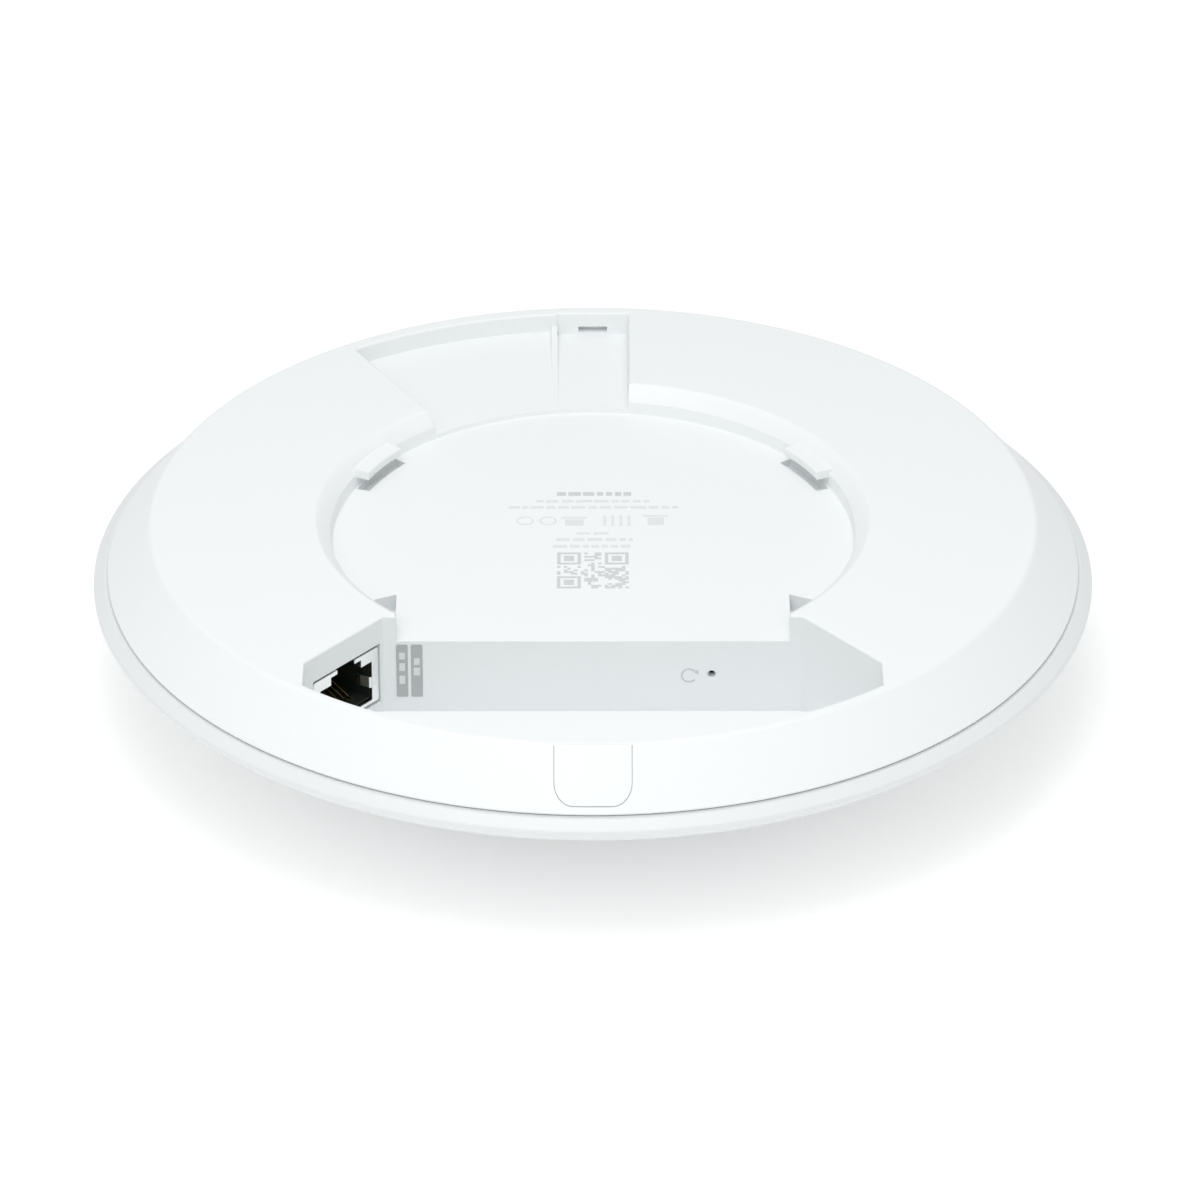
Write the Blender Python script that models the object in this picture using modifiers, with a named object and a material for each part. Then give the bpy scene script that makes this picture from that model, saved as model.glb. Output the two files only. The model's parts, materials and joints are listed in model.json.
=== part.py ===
"""Ceiling access point, modelled as it hangs: mounting side up (+Z), domed front cover down.

The origin is the centre of the recess floor that the ceiling bracket rests on. The port channel,
its network socket and the cable exit tab are on the -Y side, and the bracket's release notch is
at +Y. All lengths are in metres.
"""
import math

import bmesh
import bpy
from mathutils import Vector

# ---- Driving dimensions -------------------------------------------------------------------------
GAP = 0.0003                     # clearance between neighbouring pieces
ROUND = 56                       # sides of the large turned shapes

RIM_RADIUS = 0.0800              # widest circle, on the front cover
RIM_Z = -0.0055
REAR_FACE_Z = 0.0045             # flat ring that faces the ceiling
REAR_INNER_Z = 0.0025
CREASE_RADIUS = 0.0708           # where the flat ring meets the sloping side
SEAM_RADIUS = 0.0780             # where the sloping side meets the front cover
SEAM_Z = -0.0038
INNER_CREASE_RADIUS = 0.0696
TONGUE_INNER_RADIUS = 0.0750
TONGUE_OUTER_RADIUS = 0.0764
TONGUE_LOW_Z = -0.0060
MERGE_Z = 0.0035                 # inner bodies end inside the rear plate at this height

DOME_CENTRE_Z = 0.1315           # the front dome is part of a sphere
DOME_RADIUS = 0.1600
COVER_WALL = 0.0018
COVER_LIP_RADIUS = 0.0768
COVER_EDGE_RADIUS = 0.0783       # where the dome ends and the rim's round edge begins

RECESS_TOP_RADIUS = 0.0437       # a sloping lead-in runs from here down to the break
RECESS_BREAK = (0.0420, 0.0021)  # (radius, z)
RECESS_FLOOR_RADIUS = 0.0417
RECESS_BODY_RADIUS = 0.0458
RECESS_FLOOR_WALL = 0.0020
RECESS_SIDE_X = 0.03075          # straight sides beside the port channel
RECESS_SIDE_Y = -0.0270

LUG_INNER_RADIUS = 0.0397
LUG_LOW_Z = 0.0016
LUG_TOP_Z = 0.0030
LUG_ANGLES = (24.0, 38.0)
LUG_POCKET_Z = -0.0014

NOTCH_HALF_WIDTH = 0.0060
NOTCH_END_Y = 0.0685
NOTCH_FLOOR_Z = 0.0007
SWEEP_ANGLES = (95.0, 101.0, 107.1, 113.2, 119.3, 125.3)
SWEEP_INNER_END = 128.8
SWEEP_RADII = (0.0400, 0.0684)
SWEEP_FLOOR_Z = (0.00075, 0.00135)

PORT_WALL_Y = -0.0326
PORT_WALL_CORNER = Vector((0.0326, -0.0324))
PORT_SIDE_CORNER = Vector((0.0445, -0.0466))
CHANNEL_TOP_ARC = 0.0694
CHANNEL_LOW_ARC = 0.0646
CHANNEL_NEAR_Y = -0.0610
CHANNEL_LOW_NEAR_Y = -0.0575
CHANNEL_FLOOR_Z = -0.0108
CHANNEL_DEEP = (0.0585, -0.0500, 0.0385)   # arc, near side and half width of the deepest part
CHANNEL_DEEP_STEP = 0.0011                     # wall of the near side below the rear face
CHANNEL_DEEP_Z = -0.0127
CHANNEL_WALL = 0.0015
CHANNEL_BODY_Z = -0.0120
CHANNEL_BODY_LOW_ARC = 0.0653
CHANNEL_BODY_DEEP_Z = -0.0137

WINDOW_SIZE = Vector((0.0156, 0.01015))
WINDOW_ALONG_WALL = 0.00977      # socket centre, from the outer end of the slanted wall
WINDOW_DEPTH = 0.009815          # socket centre, below the rear face
RESET_HOLE = Vector((0.0186, PORT_WALL_Y, -0.0060))
RESET_HOLE_RADIUS = 0.0006
RESET_TRAVEL = 0.0003
PLUNGER_RADIUS = 0.0015
PLUNGER_LENGTH = 0.0031

TAB_HALF_WIDTH = 0.0059          # centre of the groove round the cable exit tab
TAB_LOW_Z = -0.0028
TAB_CORNER = 0.0028
TAB_TOP_Y = 0.07055

PCB_TOP_Z = -0.0105
PCB_THICKNESS = 0.0016
PCB_RADIUS = 0.0600
PROCESSOR_HEIGHT = 0.0014
PAD_THICKNESS = 0.0010
BOSSES = ((0.0489, 0.0228), (-0.0489, 0.0228), (0.0507, -0.0185), (-0.0507, -0.0185))

LIGHT_RING_RADII = (0.0240, 0.0270)
LIGHT_GUIDE_RADII = (0.0225, 0.0250)
RING_DEPTH = 0.0010

# ---- Scene, collections and materials -----------------------------------------------------------
for leftover in list(bpy.data.objects):
    bpy.data.objects.remove(leftover, do_unlink=True)


def new_collection(name):
    group = bpy.data.collections.new(name)
    bpy.context.scene.collection.children.link(group)
    return group


PARTS = new_collection("ceiling_access_point")
CUTTERS = new_collection("cutters")


def new_material(name, colour, roughness, metallic=0.0):
    material = bpy.data.materials.new(name)
    material.use_nodes = True
    shader = material.node_tree.nodes["Principled BSDF"]
    shader.inputs["Base Color"].default_value = (*colour, 1.0)
    shader.inputs["Roughness"].default_value = roughness
    shader.inputs["Metallic"].default_value = metallic
    material.diffuse_color = (*colour, 1.0)
    return material


FINISHES = {
    "white_plastic": ((0.86, 0.87, 0.87), 0.45, 0.0),
    "cover_plastic": ((0.87, 0.88, 0.88), 0.40, 0.0),
    "light_plastic": ((0.80, 0.86, 0.92), 0.30, 0.0),
    "circuit_board": ((0.03, 0.16, 0.08), 0.50, 0.0),
    "aluminium": ((0.70, 0.71, 0.72), 0.40, 1.0),
    "shield_metal": ((0.62, 0.62, 0.60), 0.30, 1.0),
    "black_plastic": ((0.02, 0.02, 0.02), 0.45, 0.0),
    "gold": ((0.83, 0.62, 0.25), 0.25, 1.0),
    "chip_plastic": ((0.03, 0.03, 0.035), 0.55, 0.0),
    "thermal_pad": ((0.45, 0.48, 0.62), 0.90, 0.0),
    "screw_steel": ((0.55, 0.55, 0.54), 0.35, 1.0),
}
MATERIALS = {name: new_material(name, *finish) for name, finish in FINISHES.items()}


# ---- Shape helpers ------------------------------------------------------------------------------
def place(name, mesh, finish, location=(0.0, 0.0, 0.0)):
    """Put a mesh in the model; a shape without a finish is a cutter or a guide."""
    thing = bpy.data.objects.new(name, mesh)
    thing.location = location
    if finish is None:
        CUTTERS.objects.link(thing)
        thing.hide_render = True
        thing.display_type = "WIRE"
    else:
        PARTS.objects.link(thing)
        mesh.materials.append(MATERIALS[finish])
    return thing


def finished_mesh(name, shape):
    mesh = bpy.data.meshes.new(name)
    bmesh.ops.recalc_face_normals(shape, faces=shape.faces)
    shape.to_mesh(mesh)
    shape.free()
    return mesh


def box(name, centre, size, finish=None):
    shape = bmesh.new()
    bmesh.ops.create_cube(shape, size=1.0)
    bmesh.ops.scale(shape, vec=Vector(size), verts=shape.verts)
    return place(name, finished_mesh(name, shape), finish, centre)


def cylinder(name, centre, radius, depth, finish=None, sides=24):
    shape = bmesh.new()
    bmesh.ops.create_cone(shape, cap_ends=True, segments=sides, radius1=radius, radius2=radius, depth=depth)
    mesh = finished_mesh(name, shape)
    mesh.shade_smooth()
    mesh.set_sharp_from_angle(angle=math.radians(35))
    return place(name, mesh, finish, centre)


def turned(name, profile, finish=None, sides=ROUND, closed=True):
    """Turn a profile of (radius, z) points round Z; its outer side runs from top to bottom."""
    mesh = bpy.data.meshes.new(name)
    edges = [(index, index + 1) for index in range(len(profile) - 1)]
    if closed:
        edges.append((len(profile) - 1, 0))
    mesh.from_pydata([(radius, 0.0, z) for radius, z in profile], edges, [])
    thing = place(name, mesh, finish)
    screw = thing.modifiers.new("turn", "SCREW")
    screw.steps = sides
    screw.render_steps = sides
    screw.use_merge_vertices = True
    screw.merge_threshold = 0.00001
    screw.use_smooth_shade = True
    return thing


def prism(name, outline, low, high, finish=None):
    """A flat outline given thickness between two heights, as one welded mesh."""
    curve = bpy.data.curves.new(name, "CURVE")
    curve.dimensions = "2D"
    curve.fill_mode = "BOTH"
    curve.extrude = (high - low) / 2
    spline = curve.splines.new("POLY")
    spline.points.add(len(outline) - 1)
    for point, corner in zip(spline.points, outline):
        point.co = (corner[0], corner[1], 0.0, 1.0)
    spline.use_cyclic_u = True
    guide = bpy.data.objects.new(name + "_outline", curve)
    CUTTERS.objects.link(guide)
    bpy.context.view_layer.update()
    evaluated = guide.evaluated_get(bpy.context.evaluated_depsgraph_get())
    shape = bmesh.new()
    shape.from_mesh(bpy.data.meshes.new_from_object(evaluated))
    bpy.data.objects.remove(guide, do_unlink=True)
    bmesh.ops.remove_doubles(shape, verts=shape.verts, dist=0.000001)
    return place(name, finished_mesh(name, shape), finish, (0.0, 0.0, (high + low) / 2))


def loft(name, sections, finish=None):
    """Skin a row of closed sections that have the same number of points, and cap both ends."""
    shape = bmesh.new()
    rings = [[shape.verts.new(point) for point in section] for section in sections]
    count = len(rings[0])
    for lower, upper in zip(rings, rings[1:]):
        for index in range(count):
            after = (index + 1) % count
            shape.faces.new((lower[index], lower[after], upper[after], upper[index]))
    shape.faces.new(list(reversed(rings[0])))
    shape.faces.new(rings[-1])
    return place(name, finished_mesh(name, shape), finish)


def around(radius, z, degrees):
    angle = math.radians(degrees)
    return Vector((radius * math.cos(angle), radius * math.sin(angle), z))


def sector(name, profile, start, end, finish=None, step=4.0):
    """Sweep a closed (radius, z) profile through part of a turn."""
    count = max(1, round((end - start) / step))
    turns = [start + (end - start) * index / count for index in range(count + 1)]
    return loft(name, [[around(radius, z, turn) for radius, z in profile] for turn in turns], finish)


def combine(target, other, operation):
    boolean = target.modifiers.new(other.name, "BOOLEAN")
    boolean.operation = operation
    boolean.solver = "EXACT"
    boolean.object = other


def add(target, *others):
    for other in others:
        combine(target, other, "UNION")


def cut(target, *others):
    for other in others:
        combine(target, other, "DIFFERENCE")


def at_height(outline, z):
    return [(x, y, z) for x, y in outline]


# ---- Outlines -----------------------------------------------------------------------------------
SLANT = (PORT_SIDE_CORNER - PORT_WALL_CORNER).normalized()
SLANT_OUT = Vector((-SLANT.y, SLANT.x))


def channel_outline(grow, arc_radius, near_y, half_width=PORT_SIDE_CORNER.x):
    """Port channel outline, anticlockwise from its near right corner, its walls moved out by grow."""
    side_x = half_width + grow
    wall_y = PORT_WALL_Y + grow
    on_slant = PORT_WALL_CORNER + SLANT_OUT * grow
    slant_start = on_slant + SLANT * ((wall_y - on_slant.y) / SLANT.y)
    slant_end = on_slant + SLANT * ((side_x - on_slant.x) / SLANT.x)
    first = math.asin(near_y / arc_radius)
    last = -math.acos(side_x / arc_radius)
    turns = [first + (last - first) * index / 3 for index in range(4)]
    half = [(arc_radius * math.cos(turn), arc_radius * math.sin(turn)) for turn in turns]
    half += [tuple(slant_end), tuple(slant_start)]
    return half + [(-x, y) for x, y in reversed(half)]


def tab_outline(grow):
    """U outline of the cable exit tab seen along Y, as (x, z), anticlockwise and open at the top."""
    half_width = TAB_HALF_WIDTH + grow
    low = TAB_LOW_Z - grow
    corner = TAB_CORNER + grow
    turns = [math.radians(-90 + 22.5 * index) for index in range(5)]
    centre = (half_width - corner, low + corner)
    half = [(centre[0] + corner * math.cos(turn), centre[1] + corner * math.sin(turn)) for turn in turns]
    half.append((half_width, REAR_FACE_Z + 0.0015))
    return half + [(-x, z) for x, z in reversed(half)]


def dome_arc(radius, start, end, steps):
    """Points of a sphere's lower cap from one distance off the axis to another, as (radius, z)."""
    reaches = [start + (end - start) * index / steps for index in range(steps + 1)]
    return [(reach, DOME_CENTRE_Z - math.sqrt(radius ** 2 - reach ** 2)) for reach in reaches]


def along_minus_y(thing):
    """Turn a prism made in XY so that it stands in XZ and its height runs along -Y."""
    distance = thing.location.z
    thing.rotation_euler.x = math.pi / 2
    thing.location = (0.0, -distance, 0.0)
    return thing


# ---- Rear housing -------------------------------------------------------------------------------
def side_band(inner_top_radius):
    """The flat ring and the sloping side, as one profile that ends at the seam."""
    return [
        (inner_top_radius, REAR_FACE_Z),
        (CREASE_RADIUS, REAR_FACE_Z),
        (SEAM_RADIUS, SEAM_Z),
        (TONGUE_OUTER_RADIUS, SEAM_Z),
        (TONGUE_OUTER_RADIUS, TONGUE_LOW_Z),
        (TONGUE_INNER_RADIUS, TONGUE_LOW_Z),
        (TONGUE_INNER_RADIUS, SEAM_Z),
        (INNER_CREASE_RADIUS, REAR_INNER_Z),
        (inner_top_radius, REAR_INNER_Z),
    ]


def lower_pocket_outline(side):
    """Pocket in the recess floor beside the port channel, under the edge of the rear plate."""
    corners = [(0.0310, -0.0180), (0.0310, -0.0306), (0.0325, -0.0303), (0.0355, -0.0262)]
    corners += [(0.0366, -0.0232), (0.0344, -0.0196)]
    return [(side * x, y) for x, y in corners]


def rear_housing():
    housing = turned("rear_housing", side_band(0.0410), "white_plastic")

    recess_depth = MERGE_Z + RECESS_FLOOR_WALL
    recess_centre = (0.0, 0.0, (MERGE_Z - RECESS_FLOOR_WALL) / 2)
    add(housing, cylinder("recess_body", recess_centre, RECESS_BODY_RADIUS, recess_depth, sides=ROUND))
    body_low = channel_outline(CHANNEL_WALL, CHANNEL_BODY_LOW_ARC, CHANNEL_LOW_NEAR_Y - CHANNEL_DEEP_STEP)
    body_high = channel_outline(CHANNEL_WALL, CHANNEL_TOP_ARC + CHANNEL_WALL, CHANNEL_NEAR_Y - CHANNEL_WALL)
    deep_arc, deep_near_y, deep_half_width = CHANNEL_DEEP
    near_y = deep_near_y - CHANNEL_DEEP_STEP
    body_deep = channel_outline(CHANNEL_WALL, deep_arc + CHANNEL_WALL, near_y, deep_half_width)
    body = [at_height(body_deep, CHANNEL_BODY_DEEP_Z), at_height(body_low, CHANNEL_BODY_Z)]
    add(housing, loft("channel_body", [*body, at_height(body_high, MERGE_Z)]))
    add(housing, box("notch_body", (0.0, 0.0560, 0.0013), (0.0156, 0.0284, 0.0043)))
    sweep_low = SWEEP_FLOOR_Z[0] - 0.0016
    sweep_top = MERGE_Z - 0.0001
    sweep_body = [(0.0430, sweep_low), (0.0700, sweep_low), (0.0700, sweep_top), (0.0430, sweep_top)]
    add(housing, sector("sweep_body", sweep_body, SWEEP_ANGLES[0] - 1.0, SWEEP_INNER_END + 1.5))
    for side in (-1, 1):
        label = "left" if side < 0 else "right"
        outline = lower_pocket_outline(side)
        middle = sum((Vector(corner) for corner in outline), Vector((0.0, 0.0))) / len(outline)
        wide = [middle + (Vector(corner) - middle) * 1.22 for corner in outline]
        add(housing, prism("pocket_body_" + label, wide, -0.0040, 0.0008))
    boss_low = PCB_TOP_Z + GAP
    for number, (x, y) in enumerate(BOSSES, 1):
        centre = (x, y, (MERGE_Z + boss_low) / 2)
        add(housing, cylinder(f"boss_{number}", centre, 0.0030, MERGE_Z - boss_low, sides=16))

    top = REAR_FACE_Z + 0.0020
    slope = (RECESS_TOP_RADIUS - RECESS_BREAK[0]) / (REAR_FACE_Z - RECESS_BREAK[1])
    recess = [(0.0, top), (RECESS_TOP_RADIUS + slope * (top - REAR_FACE_Z), top), RECESS_BREAK]
    recess += [(RECESS_FLOOR_RADIUS, 0.0), (0.0, 0.0)]
    cut(housing, turned("recess_cutter", recess, closed=False))
    side_depth = RECESS_SIDE_Y - PORT_WALL_Y + 0.0010
    side_centre = (0.0, RECESS_SIDE_Y - side_depth / 2, top / 2)
    cut(housing, box("recess_side_cutter", side_centre, (2 * RECESS_SIDE_X, side_depth, top)))
    high = channel_outline(0.0, CHANNEL_TOP_ARC, CHANNEL_NEAR_Y)
    low = channel_outline(0.0, CHANNEL_LOW_ARC, CHANNEL_LOW_NEAR_Y)
    deep = channel_outline(0.0, *CHANNEL_DEEP)
    channel = [at_height(deep, CHANNEL_DEEP_Z), at_height(low, CHANNEL_FLOOR_Z)]
    channel += [at_height(high, REAR_FACE_Z), at_height(high, top)]
    cut(housing, loft("channel_cutter", channel))

    sweep = []
    skew = (SWEEP_INNER_END - SWEEP_ANGLES[0]) / (SWEEP_ANGLES[-1] - SWEEP_ANGLES[0])
    for outer_turn in SWEEP_ANGLES:
        inner_turn = SWEEP_ANGLES[0] + (outer_turn - SWEEP_ANGLES[0]) * skew
        section = []
        for radius, turn, z in zip(SWEEP_RADII, (inner_turn, outer_turn), SWEEP_FLOOR_Z):
            section.append(around(radius, z, turn))
        section += [around(SWEEP_RADII[1], top, outer_turn), around(SWEEP_RADII[0], top, inner_turn)]
        sweep.append(section)
    cut(housing, loft("sweep_cutter", sweep))
    far_section = [(-0.0058, -0.0005), (-0.0058, 0.0024), (-0.0069, 0.0024), (-0.0080, -0.0005)]
    ridge = []
    for y, height in ((0.0450, 0.15), (0.0692, 1.0)):
        ridge.append([(x, y, z * height if z > 0 else z) for x, z in far_section])
    add(housing, loft("detent_ridge", ridge))
    notch_size = (2 * NOTCH_HALF_WIDTH, NOTCH_END_Y - 0.0400, top - NOTCH_FLOOR_Z)
    notch_centre = (0.0, (NOTCH_END_Y + 0.0400) / 2, (top + NOTCH_FLOOR_Z) / 2)
    cut(housing, box("notch_cutter", notch_centre, notch_size))
    slot_centre = (0.0, NOTCH_END_Y, NOTCH_FLOOR_Z + 0.0008)
    cut(housing, box("latch_slot_cutter", slot_centre, (0.0048, 0.0024, 0.0010)))

    for side in (-1, 1):
        label = "left" if side < 0 else "right"
        angles = LUG_ANGLES if side > 0 else (180 - LUG_ANGLES[1], 180 - LUG_ANGLES[0])
        lug = [(LUG_INNER_RADIUS, LUG_LOW_Z), (0.0450, LUG_LOW_Z)]
        lug += [(0.0450, LUG_TOP_Z), (LUG_INNER_RADIUS, LUG_TOP_Z)]
        add(housing, sector("lug_" + label, lug, *angles))
        under = [(0.0393, LUG_POCKET_Z), (0.0415, LUG_POCKET_Z), (0.0415, 0.0010), (0.0393, 0.0010)]
        cut(housing, sector("lug_pocket_" + label, under, angles[0] - 1.0, angles[1] + 1.0))
        cut(housing, prism("pocket_cutter_" + label, lower_pocket_outline(side), -0.0028, 0.0020))
    for number, (x, y) in enumerate(BOSSES, 1):
        cut(housing, cylinder(f"pilot_hole_{number}", (x, y, boss_low + 0.0025), 0.0012, 0.0070, sides=12))
    window = box("window_cutter", (0.0, 0.0, 0.0), (WINDOW_SIZE.x, 0.0060, WINDOW_SIZE.y))
    window.parent = SOCKET_SEAT
    cut(housing, window)
    reset_hole = cylinder("reset_hole_cutter", RESET_HOLE, RESET_HOLE_RADIUS, 0.0050, sides=12)
    reset_hole.rotation_euler.x = math.pi / 2
    cut(housing, reset_hole)
    cut(housing, along_minus_y(prism("tab_slot_cutter", tab_outline(GAP / 2), TAB_TOP_Y - GAP / 2, 0.0820)))
    return housing


def cable_exit_tab():
    band = [
        (CREASE_RADIUS, REAR_FACE_Z),
        (SEAM_RADIUS, SEAM_Z),
        (TONGUE_INNER_RADIUS, SEAM_Z),
        (INNER_CREASE_RADIUS, REAR_INNER_Z),
    ]
    tab = turned("cable_exit_tab", band, "white_plastic")
    outline = along_minus_y(prism("tab_outline_guide", tab_outline(-GAP / 2), TAB_TOP_Y + GAP / 2, 0.0820))
    combine(tab, outline, "INTERSECT")
    hinge = bpy.data.objects.new("tab_hinge", None)
    hinge.location = (0.0, -CREASE_RADIUS, REAR_FACE_Z)
    hinge.empty_display_size = 0.004
    PARTS.objects.link(hinge)
    tab.parent = hinge
    tab.location = -hinge.location
    return tab


# ---- Front cover and its light ring -------------------------------------------------------------
def front_cover():
    inner = dome_arc(DOME_RADIUS - COVER_WALL, 0.0, 0.0755, 6)
    lip = [(COVER_LIP_RADIUS, TONGUE_LOW_Z - 0.0006), (COVER_LIP_RADIUS, SEAM_Z - 0.0005)]
    lip += [(SEAM_RADIUS + 0.0002, SEAM_Z - 0.0005), (0.0794, -0.0048), (RIM_RADIUS, RIM_Z)]
    lip += [(0.0797, -0.0067)]
    groove_out = dome_arc(DOME_RADIUS - RING_DEPTH, LIGHT_RING_RADII[1], LIGHT_RING_RADII[0], 1)
    outer = dome_arc(DOME_RADIUS, COVER_EDGE_RADIUS, LIGHT_RING_RADII[1], 4)
    middle = dome_arc(DOME_RADIUS, LIGHT_RING_RADII[0], 0.0, 2)
    cover = turned("front_cover", inner + lip + outer + groove_out + middle, "cover_plastic", closed=False)
    for number in range(6):
        turn = 30.0 + 60.0 * number
        profile = [(0.0716, -0.0100), (0.0734, -0.0100), (0.0734, -0.0048), (0.0716, -0.0048)]
        rib = sector(f"snap_rib_{number + 1}", profile, turn - 3.0, turn + 3.0, step=6.0)
        add(cover, rib)
    return cover


def light_ring():
    inner_radius = LIGHT_RING_RADII[0] + GAP
    outer_radius = LIGHT_RING_RADII[1] - GAP
    outside = dome_arc(DOME_RADIUS, outer_radius, inner_radius, 1)
    inside = dome_arc(DOME_RADIUS - RING_DEPTH + GAP, inner_radius, outer_radius, 1)
    return turned("light_ring", inside + outside, "light_plastic", sides=ROUND)


def light_guide():
    low_in, low_out = dome_arc(DOME_RADIUS - COVER_WALL - 2 * GAP, *LIGHT_GUIDE_RADII, 1)
    top = PCB_TOP_Z - PCB_THICKNESS - 0.0014
    profile = [(LIGHT_GUIDE_RADII[0], top), (LIGHT_GUIDE_RADII[1], top), low_out, low_in]
    return turned("light_guide", profile, "light_plastic", sides=40)


# ---- Network socket -----------------------------------------------------------------------------
def socket_seat():
    """Empty on the slanted wall's face: X along the wall, Y into the housing, Z up."""
    seat = bpy.data.objects.new("socket_seat", None)
    outer_end = Vector((-PORT_SIDE_CORNER.x, PORT_SIDE_CORNER.y))
    along = Vector((SLANT.x, -SLANT.y))
    centre = outer_end + along * WINDOW_ALONG_WALL
    seat.location = (centre.x, centre.y, REAR_FACE_Z - WINDOW_DEPTH)
    seat.rotation_euler.z = math.atan2(along.y, along.x)
    seat.empty_display_size = 0.005
    PARTS.objects.link(seat)
    return seat


SOCKET_SEAT = socket_seat()
SHIELD_SIZE = Vector((WINDOW_SIZE.x - 2 * GAP, 0.0160, WINDOW_SIZE.y - 2 * GAP))
SHIELD_SHEET = 0.00025
SOCKET_FACE_Y = 0.0002
MOUTH_HALF_WIDTH = 0.0060
MOUTH_LOW_Z = -0.0042
MOUTH_TOP_Z = 0.0027
LATCH_STEPS = ((0.0035, 0.0040), (0.0020, 0.0046))
CAVITY_FLOOR = 0.0004
CONTACT_PITCH = 0.001016
CONTACT_WIRE = 0.0003
CONTACT_RISE = 0.0010


def mouth_outline(low, top_reach):
    """Opening for the plug with its stepped latch notch on top, as (x, z)."""
    half = [(MOUTH_HALF_WIDTH, low), (MOUTH_HALF_WIDTH, MOUTH_TOP_Z), (LATCH_STEPS[0][0], MOUTH_TOP_Z)]
    half += [(LATCH_STEPS[0][0], LATCH_STEPS[0][1]), (LATCH_STEPS[1][0], LATCH_STEPS[0][1])]
    half += [(LATCH_STEPS[1][0], top_reach)]
    return half + [(-x, z) for x, z in reversed(half)]


def in_socket(thing, y_low, y_high):
    """Hang a prism on the socket seat so that its height runs from y_low to y_high."""
    thing.parent = SOCKET_SEAT
    thing.rotation_euler.x = math.pi / 2
    thing.location = (0.0, (y_low + y_high) / 2, 0.0)
    return thing


def rj45_shield():
    size = SHIELD_SIZE
    middle = (0.0, SOCKET_FACE_Y + size.y / 2, 0.0)
    shield = box("rj45_shield", middle, size, "shield_metal")
    shield.parent = SOCKET_SEAT
    inside = (size.x - 2 * SHIELD_SHEET, size.y, size.z - 2 * SHIELD_SHEET)
    hollow = box("shield_hollow", (0.0, middle[1] + SHIELD_SHEET, 0.0), inside)
    hollow.parent = SOCKET_SEAT
    cut(shield, hollow)
    mouth = prism("shield_mouth", mouth_outline(MOUTH_LOW_Z, LATCH_STEPS[1][1]), -0.001, 0.001)
    cut(shield, in_socket(mouth, SOCKET_FACE_Y - 0.001, SOCKET_FACE_Y + 0.001))
    return shield


def rj45_insert():
    front = SOCKET_FACE_Y + SHIELD_SHEET + GAP
    back = SOCKET_FACE_Y + SHIELD_SIZE.y - GAP
    half_x = SHIELD_SIZE.x / 2 - SHIELD_SHEET - GAP
    half_z = SHIELD_SIZE.z / 2 - SHIELD_SHEET - GAP
    size = (2 * half_x, back - front, 2 * half_z)
    insert = box("rj45_insert", (0.0, (front + back) / 2, 0.0), size, "black_plastic")
    insert.parent = SOCKET_SEAT
    cavity = prism("socket_cavity", mouth_outline(-half_z + CAVITY_FLOOR, half_z + 0.001), -0.0070, 0.0070)
    cut(insert, in_socket(cavity, front - 0.0010, front + 0.0130))
    return insert


def rj45_contacts():
    """Eight sprung contact wires, low at the mouth and rising towards the back of the cavity."""
    floor = -(SHIELD_SIZE.z / 2 - SHIELD_SHEET - GAP) + CAVITY_FLOOR + GAP
    crest = floor + CONTACT_RISE
    lower_side = [(0.0024, floor), (0.0030, floor), (0.0092, crest), (0.0098, crest - CONTACT_WIRE)]
    leg = [(0.0098, floor), (0.0101, floor), (0.0101, crest)]
    low_top = floor + CONTACT_WIRE
    outline = lower_side + leg + [(0.0093, crest + CONTACT_WIRE), (0.0030, low_top), (0.0024, low_top)]
    for number in range(8):
        contact = prism(f"rj45_contact_{number + 1}", outline, -CONTACT_WIRE / 2, CONTACT_WIRE / 2, "gold")
        contact.parent = SOCKET_SEAT
        contact.rotation_euler = (math.pi / 2, 0.0, math.pi / 2)
        contact.location = ((number - 3.5) * CONTACT_PITCH, 0.0, 0.0)


# ---- Reset button -------------------------------------------------------------------------------
def reset_switch():
    x, _, z = RESET_HOLE
    size = Vector((0.0060, 0.0036, 0.0070))
    body_y = PORT_WALL_Y + 0.0065
    low = PCB_TOP_Z + GAP
    body = box("reset_switch_body", (x, body_y, low + size.z / 2), size, "black_plastic")
    front = body_y - size.y / 2
    bore = cylinder("plunger_bore", (x, front, z), PLUNGER_RADIUS + GAP, 0.0028, sides=16)
    bore.rotation_euler.x = math.pi / 2
    cut(body, bore)
    plunger_y = front + 0.0014 - GAP - RESET_TRAVEL - PLUNGER_LENGTH / 2
    centre = (x, plunger_y, z)
    plunger = cylinder("reset_plunger", centre, PLUNGER_RADIUS, PLUNGER_LENGTH, "chip_plastic", 16)
    plunger.rotation_euler.x = math.pi / 2


# ---- Circuit board and what is on it ------------------------------------------------------------
def main_pcb():
    centre = (0.0, 0.0, PCB_TOP_Z - PCB_THICKNESS / 2)
    board = cylinder("main_pcb", centre, PCB_RADIUS, PCB_THICKNESS, "circuit_board", sides=ROUND)
    clear = channel_outline(CHANNEL_WALL + 0.0008, 0.0720, -0.0640)
    cut(board, prism("board_notch", clear, PCB_TOP_Z - 0.0040, PCB_TOP_Z + 0.0010))
    for number, (x, y) in enumerate(BOSSES, 1):
        cut(board, cylinder(f"board_hole_{number}", (x, y, centre[2]), 0.0015, 0.0030, sides=12))


def on_board(name, x, y, size, finish, lift=0.0):
    """A box-shaped piece that stands on the board's upper side, lift above it."""
    low = PCB_TOP_Z + GAP + lift
    return box(name, (x, y, low + size[2] / 2), size, finish)


def shield_can(name, x, y, size):
    can = on_board(name, x, y, size, "shield_metal")
    sheet = 0.0003
    inside = (size[0] - 2 * sheet, size[1] - 2 * sheet, size[2])
    cut(can, box(name + "_hollow", (x, y, can.location.z - sheet), inside))


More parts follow.
